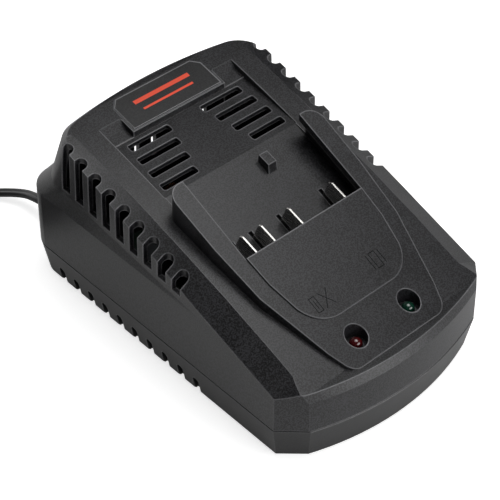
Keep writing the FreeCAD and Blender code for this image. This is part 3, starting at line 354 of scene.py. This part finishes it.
@dataclass(frozen=True)
class BrushedFinish(Finish):
    """Plated strip with fine lines along Y and a little tarnish."""

    LINE_STRETCH: ClassVar[Point] = (1.0, 0.04, 1.0)
    LINE_SCALE: ClassVar[float] = 3200.0
    LINE_GLOSS: ClassVar[float] = 0.25
    TARNISH_SCALE: ClassVar[float] = 420.0
    TARNISH_DETAIL: ClassVar[float] = 3.0
    TARNISH_START: ClassVar[float] = 0.4
    TARNISH_GAIN: ClassVar[float] = 1.6
    TARNISH_SHADE: ClassVar[float] = 0.72

    def shades(self, tree: ShaderTree, place: Field, grain: Field, rim: Field) -> tuple[Field, Field]:
        """Colour darkened by tarnish, roughness drawn out into lines along Y.

        Args:
            tree: Tree being filled.
            place: Object coordinates in metres.
            grain: Fine noise of the surface relief, not used here.
            rim: Mask that is 1 along rounded edges, not used here.

        Returns:
            Base colour field and roughness field.
        """
        lines = tree.noise(tree.coords(scale=self.LINE_STRETCH), self.LINE_SCALE) - NOISE_MIDDLE
        tarnish = tree.noise(place, self.TARNISH_SCALE, self.TARNISH_DETAIL)
        amount = ((tarnish - self.TARNISH_START) * self.TARNISH_GAIN).clamped()
        dark = tuple(c * self.TARNISH_SHADE for c in self.colour)
        rough = (lines * self.LINE_GLOSS + self.roughness).clamped()
        return tree.blend(amount, self.colour, dark), rough


class Palette:
    """Every finish of the charger, each made into a material once."""

    # SHELL, BASE and PLATE paint a paler colour along their outer edges: a painted highlight.
    SHELL = Finish("case_plastic_fine", (0.0115, 0.0114, 0.0130), 0.35, grain=0.62, grain_depth=0.05,
                   mottle=0.98, speckle=9.0, edge=0.36, painted_edge_highlight=(0.15, 0.15, 0.157))
    BASE = Finish("case_plastic_base", (0.0095, 0.0094, 0.0101), 0.38, grain=0.8, grain_depth=0.03,
                  mottle=0.7, edge=0.32, painted_edge_highlight=(0.12, 0.12, 0.124))
    PLATE = PrintedFinish("plate_satin", (0.009, 0.009, 0.0096), 0.36, grain=0.7, grain_depth=0.03,
                          mottle=0.8, edge=0.26, painted_edge_highlight=(0.24, 0.24, 0.248))
    # The marks are coloured far darker than the shell: painted shade standing in for the shaded sides of
    # the raised strokes.
    MARK = Finish("moulded_mark", (0.002, 0.002, 0.002), 0.7, grain=0.4, grain_depth=0.01,
                  edge=0.12, specular=0.2)
    CONTACT = BrushedFinish("contact_nickel", (0.8, 0.79, 0.76), 0.24, 1.0, grain=0.3,
                            grain_depth=0.004, edge=0.15)
    INNER = Finish("inner_nylon", (0.012, 0.012, 0.012), 0.55, grain=0.6)
    WIRE = Finish("wire_sleeve", (0.3, 0.02, 0.015), 0.4, grain=0.8)
    BOARD = Finish("board_laminate", (0.008, 0.026, 0.013), 0.35, grain=0.9, mottle=0.3)
    FERRITE = Finish("ferrite_grey", (0.045, 0.045, 0.048), 0.6, grain=0.5, mottle=0.3)
    TAPE = Finish("winding_tape", (0.34, 0.25, 0.12), 0.4, coat=0.2, grain=1.2)
    CAN = Finish("capacitor_sleeve", (0.02, 0.022, 0.03), 0.28, coat=0.5, grain=1.0)
    FILM = Finish("film_case", (0.03, 0.032, 0.036), 0.4, grain=0.8)
    COPPER = Finish("enamelled_wire", (0.6, 0.24, 0.1), 0.28, 1.0, grain=0.4)
    GLASS = Finish("fuse_glass", (0.62, 0.64, 0.62), 0.08, coat=1.0, grain=1.5, grain_depth=0.004)
    EPOXY = Finish("package_epoxy", (0.015, 0.015, 0.015), 0.5, grain=0.4)
    SINK = BrushedFinish("sink_aluminium", (0.72, 0.73, 0.74), 0.32, 1.0, grain=0.5)
    RED_LENS = Finish("lens_red", (0.055, 0.0025, 0.003), 0.14, coat=1.0, grain=1.6,
                      grain_depth=0.004, edge=0.2)
    GREEN_LENS = Finish("lens_green", (0.003, 0.032, 0.018), 0.14, coat=1.0, grain=1.6,
                        grain_depth=0.004, edge=0.2)
    STEEL = Finish("screw_zinc", (0.62, 0.62, 0.6), 0.3, 1.0, grain=0.3, grain_depth=0.01, edge=0.2)
    RUBBER = Finish("foot_rubber", (0.018, 0.018, 0.018), 0.75, grain=0.5, mottle=0.2)
    CORD = Finish("cord_pvc", (0.013, 0.013, 0.0135), 0.4, grain=0.7, grain_depth=0.02, edge=0.2)
    SLEEVE = Finish("gland_pvc", (0.014, 0.014, 0.0145), 0.48, grain=0.6, grain_depth=0.03, edge=0.3)
    PIN = BrushedFinish("pin_brass", (0.78, 0.76, 0.7), 0.22, 1.0, grain=0.3, grain_depth=0.004, edge=0.3)

    def __init__(self) -> None:
        """Start with no material made."""
        self.made: dict[str, bpy.types.Material] = {}

    def material(self, finish: Finish) -> bpy.types.Material:
        """Material of a finish, made on first use."""
        if finish.name not in self.made:
            self.made[finish.name] = finish.build()
        return self.made[finish.name]


class Workshop:
    """Makes, dresses and places the pieces of the scene."""

    def __init__(self, palette: Palette) -> None:
        """Keep the palette that the pieces are finished from."""
        self.palette = palette

    def dress(self, node: str, finish: Finish) -> bpy.types.Object:
        """Give a CAD node its finish.

        Args:
            node: Name of the node.
            finish: Finish to wear.

        Returns:
            The node's object.
        """
        piece = frame["nodes"][node]
        for place in piece.material_slots:
            place.material = self.palette.material(finish)
        LOG.info("dressed %s in %s", node, finish.name)
        return piece

    def piece(self, name: str, points: np.ndarray, faces: Sequence[Sequence[int]], finish: Finish,
              slot: str) -> bpy.types.Object:
        """Make one new piece from points and faces.

        Args:
            name: Name of the piece.
            points: Array of points in metres, one per row.
            faces: Corner indices of each face.
            finish: Finish to wear.
            slot: Name of a material slot of the record, not used.

        Returns:
            The new object, riding on the body.
        """
        mesh = bpy.data.meshes.new(name)
        mesh.from_pydata(points.tolist(), [], [list(f) for f in faces])
        mesh.validate()
        mesh.materials.append(self.palette.material(finish))
        made = bpy.data.objects.new(name, mesh)
        bpy.context.scene.collection.objects.link(made)
        mesh.polygons.foreach_set("use_smooth", np.ones(len(mesh.polygons), bool))
        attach(made, "root")
        LOG.info("built %s with %d faces", name, len(mesh.polygons))
        return made


def grid_faces(rows: int, columns: int, closed: bool) -> list[tuple[int, int, int, int]]:
    """Faces of a grid of points stored row by row.

    Args:
        rows: Number of rows.
        columns: Points in a row.
        closed: True if each row is a ring.

    Returns:
        Corner indices, one quadrilateral per cell.
    """
    across = columns if closed else columns - 1
    row, column = np.meshgrid(np.arange(rows - 1), np.arange(across), indexing="ij")
    after = (column + 1) % columns
    quads = np.stack([row * columns + column, row * columns + after,
                      (row + 1) * columns + after, (row + 1) * columns + column], axis=-1)
    return [tuple(q) for q in quads.reshape(-1, 4).tolist()]


@dataclass
class CaseShells:
    """Upper and lower shell with the name plate, feet and fasteners."""

    workshop: Workshop

    def build(self) -> None:
        """Dress the nodes of the case."""
        for node, finish in (("upper_shell", Palette.SHELL), ("lower_shell", Palette.BASE),
                             ("name_plate", Palette.PLATE), ("rubber_feet", Palette.RUBBER),
                             ("case_screws", Palette.STEEL)):
            self.workshop.dress(node, finish)


@dataclass
class BatterySeat:
    """Contacts of the bay and the small moulded marks on the tongue, in millimetres."""

    workshop: Workshop
    deck_y: float = -80.9
    deck_z: float = 39.0
    deck_slope: float = 0.455
    tongue_rise: float = 0.9
    stroke: float = 0.42
    proud: float = 0.16
    sunk: float = 0.05
    end_run: float = 0.15
    end_drop: float = 0.2
    across: int = 7
    strokes: tuple[tuple[tuple[float, float], ...], ...] = (
        ((-21.9, -58.4), (-21.9, -52.2), (-19.2, -52.2), (-19.2, -58.4), (-21.9, -58.4)),
        ((-20.55, -57.0), (-20.55, -53.4)),
        ((-17.4, -58.6), (-12.4, -51.8)),
        ((-17.2, -52.0), (-12.6, -58.4)),
        ((11.6, -56.4), (11.6, -50.2)),
        ((13.2, -56.6), (13.2, -50.0), (16.2, -50.0), (16.2, -56.6), (13.2, -56.6)),
        ((18.0, -56.2), (18.0, -50.4)),
    )

    def height(self, y: np.ndarray) -> np.ndarray:
        """Height of the tongue: deck_z + deck_slope (y - deck_y) + tongue_rise."""
        return self.deck_z + self.deck_slope * (y - self.deck_y) + self.tongue_rise

    def ridge(self, points: Sequence[tuple[float, float]]) -> tuple[np.ndarray, list[tuple[int, ...]]]:
        """Low rounded ridge along a line of points on the tongue.

        A cross section reaches stroke / 2 to each side, and its height over the tongue is
        proud * cos(pi / 2 * s) - sunk for s from -1 to 1. Corners are mitred by the mean of the two
        side directions. An open end runs on by end_run and drops by end_drop into the tongue.

        Args:
            points: Points of the line in plan, in millimetres.

        Returns:
            Points in metres and faces.
        """
        line = np.array(points, float)
        steps = np.diff(line, axis=0)
        steps /= np.linalg.norm(steps, axis=1)[:, None]
        before = np.vstack([steps[:1], steps])
        after = np.vstack([steps, steps[-1:]])
        shut = bool(np.allclose(line[0], line[-1]))
        if shut:
            before[0], after[-1] = steps[-1], steps[0]
        mean = before + after
        mean /= np.linalg.norm(mean, axis=1)[:, None]
        side = np.stack([-mean[:, 1], mean[:, 0]], axis=1)
        side /= np.sum(mean * before, axis=1)[:, None]
        s = np.linspace(-1.0, 1.0, self.across)
        plan = line[:, None, :] + side[:, None, :] * (s * self.stroke / 2)[None, :, None]
        lift = self.proud * np.cos(math.pi / 2 * s) - self.sunk
        high = self.height(plan[..., 1]) + lift[None, :]
        grid = np.concatenate([plan, high[..., None]], axis=-1)
        if not shut:
            start = grid[:1] + np.array([*(-steps[0] * self.end_run), -self.end_drop])
            stop = grid[-1:] + np.array([*(steps[-1] * self.end_run), -self.end_drop])
            grid = np.concatenate([start, grid, stop])
        faces = grid_faces(len(grid), len(s), False)
        return grid.reshape(-1, 3) * MM, [f[::-1] for f in faces]

    def build(self) -> None:
        """Dress the contacts and raise the marks."""
        for name in ("negative", "sensor", "data", "positive"):
            self.workshop.dress("terminal_blade_" + name, Palette.CONTACT)
        self.workshop.dress("terminal_carrier", Palette.INNER)
        self.workshop.dress("terminal_wires", Palette.WIRE)
        points: list[np.ndarray] = []
        faces: list[tuple[int, ...]] = []
        count = 0
        for stroke in self.strokes:
            ridge, quads = self.ridge(stroke)
            faces += [tuple(i + count for i in quad) for quad in quads]
            count += len(ridge)
            points.append(ridge)
        self.workshop.piece("moulded_marks", np.vstack(points), faces, Palette.MARK, "case_plastic")


@dataclass
class Electronics:
    """Everything on and around the circuit board."""

    workshop: Workshop

    def build(self) -> None:
        """Dress the inner nodes."""
        for node, finish in (
                ("circuit_board", Palette.BOARD), ("transformer_core", Palette.FERRITE),
                ("transformer_bobbin", Palette.INNER), ("transformer_winding", Palette.TAPE),
                ("mains_capacitor", Palette.CAN), ("output_capacitors", Palette.CAN),
                ("film_capacitor", Palette.FILM), ("choke_core", Palette.FERRITE),
                ("choke_windings", Palette.COPPER), ("fuse", Palette.GLASS),
                ("bridge_rectifier", Palette.EPOXY), ("primary_heat_sink", Palette.SINK),
                ("switching_transistor", Palette.EPOXY), ("output_heat_sink", Palette.SINK),
                ("output_diode", Palette.EPOXY), ("control_chips", Palette.EPOXY),
                ("lamp_red", Palette.RED_LENS), ("lamp_green", Palette.GREEN_LENS),
                ("lamp_spacers", Palette.INNER), ("board_screws", Palette.STEEL),
                ("cord_clamp", Palette.INNER), ("clamp_screws", Palette.STEEL),
                ("core_wires", Palette.WIRE), ("inner_lead", Palette.CORD)):
            self.workshop.dress(node, finish)


@dataclass
class MainsLead:
    """Flat twin lead from the gland, wound up out of view, with its plug, in millimetres."""

    workshop: Workshop
    width: float = 4.8
    thick: float = 2.9
    groove: float = 0.55
    groove_width: float = 0.6
    edge_power: float = 0.6
    around: int = 24
    gland_end: Point = (-34.0, 107.8, 8.5)
    centre: tuple[float, float] = (-95.9, 130.26)
    start_angle: float = 47.83
    outer_r: float = 38.0
    pitch: float = 5.2
    layer: float = 3.2
    floor_gap: float = 0.05
    turns_in: float = 4.75
    climb: float = 0.5
    turns_out: float = 4.117
    per_turn: int = 14
    least_step: float = 0.3
    curve_steps: int = 5
    lead: tuple[Point, ...] = (
        gland_end, (-34.3, 113.0, 8.0), (-35.2, 122.6, 5.6), (-45.8, 137.5, 2.2),
        (-57.0, 147.0, 1.5), (-66.98, 155.34, 1.5))
    tail: tuple[Point, ...] = (
        (-130.5, 113.7, 4.9), (-131.8, 101.7, 5.6), (-131.61, 89.71, 6.8))

    def coil(self) -> list[Point]:
        """Points of the coil, per_turn to a turn.

        The radius falls by pitch a turn on the floor. Over the climb, s goes from 0 to 1 and the
        height rises by layer (3 s^2 - 2 s^3), while the radius falls for half of it and grows for the
        other half. Then it grows by pitch a turn on the layer above. The last point stands at the
        coil's very end, so a point less than least_step of a step before that is left out.

        Returns:
            Points in millimetres, counter-clockwise from the lead to the tail.
        """
        total = self.turns_in + self.climb + self.turns_out
        step = 1.0 / self.per_turn
        turn = np.append(np.arange(0.0, total - self.least_step * step, step), total)
        s = np.clip((turn - self.turns_in) / self.climb, 0.0, 1.0)
        inward = np.minimum(turn, self.turns_in) + self.climb * (0.5 - np.abs(s - 0.5))
        outward = np.maximum(turn - self.turns_in - self.climb, 0.0)
        radius = self.outer_r - self.pitch * (inward - outward)
        angle = math.radians(self.start_angle) + 2 * math.pi * turn
        high = self.thick / 2 + self.floor_gap + self.layer * s * s * (3 - 2 * s)
        x = self.centre[0] + radius * np.cos(angle)
        y = self.centre[1] + radius * np.sin(angle)
        return [tuple(p) for p in np.stack([x, y, high], axis=1).tolist()]

    def route(self) -> np.ndarray:
        """Smooth middle line of the lead, read from a NURBS spline whose control points are its runs'.

        Returns:
            Points in metres, from the gland to the plug.
        """
        runs = {CordRun.LEAD: list(self.lead), CordRun.COIL: self.coil(), CordRun.TAIL: list(self.tail)}
        points = [p for run in CordRun for p in runs[run]]
        curve = bpy.data.curves.new("lead_route", "CURVE")
        curve.dimensions = "3D"
        curve.resolution_u = self.curve_steps
        spline = curve.splines.new("NURBS")
        spline.points.add(len(points) - 1)
        for knot, (x, y, z) in zip(spline.points, points):
            knot.co = (x * MM, y * MM, z * MM, 1.0)
        spline.order_u = 3
        spline.use_endpoint_u = True
        holder = bpy.data.objects.new("lead_route", curve)
        bpy.context.scene.collection.objects.link(holder)
        mesh = bpy.data.meshes.new_from_object(holder)
        line = np.empty(len(mesh.vertices) * 3)
        mesh.vertices.foreach_get("co", line)
        bpy.data.objects.remove(holder)
        bpy.data.meshes.remove(mesh)
        bpy.data.curves.remove(curve)
        return line.reshape(-1, 3)

    def profile(self) -> np.ndarray:
        """Cross section of the twin lead: a flat oval with a groove on both faces.

        With a for half the width and b for half the thickness, x = a cos t and
        z = b sgn(sin t) |sin t|^edge_power, less groove * exp(-(x / groove_width)^2) towards the
        middle.

        Returns:
            Points across and up, in millimetres.
        """
        t = np.linspace(0, 2 * math.pi, self.around, endpoint=False)
        x = self.width / 2 * np.cos(t)
        z = self.thick / 2 * np.sign(np.sin(t)) * np.abs(np.sin(t)) ** self.edge_power
        z -= np.sign(z) * self.groove * np.exp(-((x / self.groove_width) ** 2))
        return np.stack([x, z], axis=1)

    def sweep(self, line: np.ndarray) -> tuple[np.ndarray, list[tuple[int, ...]]]:
        """Carry the profile along the line, kept level across.

        A point of the profile stands at line + x across + z up, where across is level and square to
        the line and up is square to both.

        Args:
            line: Middle line in metres.

        Returns:
            Points in metres and faces, with both ends closed.
        """
        ahead = np.gradient(line, axis=0)
        ahead /= np.linalg.norm(ahead, axis=1)[:, None]
        across = np.cross(ahead, np.array([0.0, 0.0, 1.0]))
        across /= np.linalg.norm(across, axis=1)[:, None]
        up = np.cross(across, ahead)
        x, z = self.profile().T[:, None, :, None] * MM
        grid = line[:, None, :] + across[:, None, :] * x + up[:, None, :] * z
        rows, columns = grid.shape[:2]
        faces: list[tuple[int, ...]] = [f[::-1] for f in grid_faces(rows, columns, True)]
        faces.append(tuple(range(columns)))
        faces.append(tuple(reversed(range((rows - 1) * columns, rows * columns))))
        return grid.reshape(-1, 3), faces

    def build(self) -> None:
        """Lay the lead and dress its gland and plug."""
        line = self.route()
        points, faces = self.sweep(line)
        lead = self.workshop.piece("flat_mains_lead", points, faces, Palette.CORD, "cord_pvc")
        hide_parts("mains_cord", "cord_coil", "cord_tail")
        body = self.workshop.dress("plug_body", Palette.SLEEVE)
        pins = self.workshop.dress("plug_pins", Palette.PIN)
        self.workshop.dress("strain_relief", Palette.SLEEVE)


def facing(place: Point, aim: Point) -> Euler:
    """Turn that points -Z from place to aim and keeps Y upwards."""
    return (Vector(aim) - Vector(place)).to_track_quat("-Z", "Y").to_euler()


@dataclass(frozen=True)
class SoftBox:
    """Square area lamp over the set, in metres; each point of it shines with the same radiance."""

    name: str
    place: Point
    size: float
    radiance: float
    aim: Point = (0.0, 0.0, 0.03)

    def build(self) -> None:
        """Hang the lamp, with a power of pi * size^2 * radiance."""
        data = bpy.data.lights.new(self.name, "AREA")
        data.shape = "SQUARE"
        data.size = self.size
        data.energy = math.pi * self.size * self.size * self.radiance
        lamp = bpy.data.objects.new(self.name, data)
        lamp.location = self.place
        lamp.rotation_euler = facing(self.place, self.aim)
        bpy.context.scene.collection.objects.link(lamp)


@dataclass
class Studio:
    """Floor, soft boxes, surround and camera, in metres, with lens and sensor in millimetres."""

    eye: Point = (-0.3608, -0.3895, 0.5153)
    target: Point = (0.0063, 0.0125, 0.0183)
    lens: float = 122.4
    sensor: float = 36.0
    nearest: float = 0.01
    boxes: tuple[SoftBox, ...] = (
        SoftBox("overhead", (0.0, 0.0, 1.10), 0.60, 1.8),
        SoftBox("near_right", (0.22, 0.04, 0.62), 0.30, 1.5),
        SoftBox("near_front", (0.14, -0.16, 0.62), 0.30, 2.2),
        SoftBox("near_rear", (0.10, 0.12, 0.62), 0.30, 0.9),
        SoftBox("front_low", (0.20, -1.05, 0.30), 1.00, 3.3),
        SoftBox("rear_low", (0.10, 1.10, 0.40), 0.90, 1.2, aim=(0.0, 0.0, 0.06)),
    )
    floor_inner: float = 0.02
    floor_outer: float = 4.0
    floor_rings: int = 12
    floor_spokes: int = 64
    floor_drop: float = 0.0001
    paper_tones: tuple[Colour, Colour] = ((0.86, 0.86, 0.86), (0.9, 0.9, 0.9))
    paper_roughness: float = 0.9
    paper_grain: float = 900.0
    paper_glow: float = 0.75
    glossy_glow: float = 0.15
    ceiling: float = 0.03
    horizon: float = 0.22
    surround_top: float = 0.42
    backdrop_start: float = 1.3
    backdrop_top: float = 0.25

    def floor(self) -> None:
        """Round pale floor, floor_drop under z = 0, with evenly spaced rings round a middle disc.

        A point of ring r and spoke t stands at (r cos t, r sin t, -floor_drop).
        """
        spoke = np.linspace(0, 2 * math.pi, self.floor_spokes, endpoint=False)
        ring = np.linspace(self.floor_inner, self.floor_outer, self.floor_rings)[:, None]
        level = np.full((self.floor_rings, self.floor_spokes), -self.floor_drop)
        grid = np.stack([ring * np.cos(spoke), ring * np.sin(spoke), level], axis=-1)
        faces = grid_faces(self.floor_rings, self.floor_spokes, True) + [tuple(range(self.floor_spokes))]
        mesh = bpy.data.meshes.new("studio_floor")
        mesh.from_pydata(grid.reshape(-1, 3).tolist(), [], faces)
        mesh.materials.append(self.paper())
        made = bpy.data.objects.new("studio_floor", mesh)
        bpy.context.scene.collection.objects.link(made)

    def paper(self) -> bpy.types.Material:
        """Pale paper that glows for the camera, and a little in gloss.

        Returns:
            The floor's material.
        """
        material = bpy.data.materials.new("studio_paper")
        tree = ShaderTree(material)
        tone = tree.blend(tree.noise(tree.coords(), self.paper_grain), *self.paper_tones)
        sheet = tree.node("ShaderNodeBsdfPrincipled", None, {
            "Base Color": tone, "Roughness": self.paper_roughness, "Specular IOR Level": 0.0})
        glow = tree.node("ShaderNodeEmission", None, {"Color": WHITE, "Strength": self.paper_glow})
        camera = tree.node("ShaderNodeLightPath", output="Is Camera Ray")
        seen = camera.most(camera.output("Is Glossy Ray") * self.glossy_glow)
        lit = tree.node("ShaderNodeAddShader", None, {0: sheet, 1: glow})
        tree.finish(tree.node("ShaderNodeMixShader", None, {0: seen, 1: sheet, 2: lit}))
        return material

    def world(self) -> None:
        """White backdrop for the camera and through glass, dim surround for light.

        With h for the height of a direction, gloss shows the white backdrop by the share
        backdrop_start - h / backdrop_top, held between 0 and 1. The surround falls from horizon at
        h = 0 to ceiling at h = surround_top along a straight line.
        """
        world = bpy.data.worlds.new("surround")
        bpy.context.scene.world = world
        tree = ShaderTree(world)
        camera = tree.node("ShaderNodeLightPath", output="Is Camera Ray")
        seen = camera.most(camera.output("Is Transmission Ray"))
        _, _, high = tree.axes(tree.coords(Coords.DIRECTION))
        fall = (1.0 - high * (1.0 / self.surround_top)).clamped()
        surround = fall * (self.horizon - self.ceiling) + self.ceiling
        shown = (self.backdrop_start - high * (1.0 / self.backdrop_top)).clamped()
        strength = surround.most(shown * camera.output("Is Glossy Ray")).most(seen)
        light = tree.node("ShaderNodeBackground", None, {"Color": WHITE, "Strength": strength})
        tree.finish(light, "ShaderNodeOutputWorld")

    def camera(self) -> None:
        """Camera at the photograph's viewing angle."""
        data = bpy.data.cameras.new("camera")
        data.lens = self.lens
        data.sensor_width = self.sensor
        data.clip_start = self.nearest
        view = bpy.data.objects.new("camera", data)
        view.location = self.eye
        view.rotation_euler = facing(self.eye, self.target)
        bpy.context.scene.collection.objects.link(view)
        bpy.context.scene.camera = view

    def build(self) -> None:
        """Set up the whole set."""
        self.floor()
        self.world()
        for box in self.boxes:
            box.build()
        self.camera()
        bpy.context.scene.view_settings.view_transform = "Standard"


def main() -> None:
    """Build the charger and its set, in order."""
    logging.basicConfig(level=logging.INFO, format="%(name)s: %(message)s")
    workshop = Workshop(Palette())
    for assembly in (CaseShells, BatterySeat, Electronics, MainsLead):
        LOG.info("building %s", assembly.__name__)
        assembly(workshop).build()
    Studio().build()


if __name__ == "__main__":
    main()
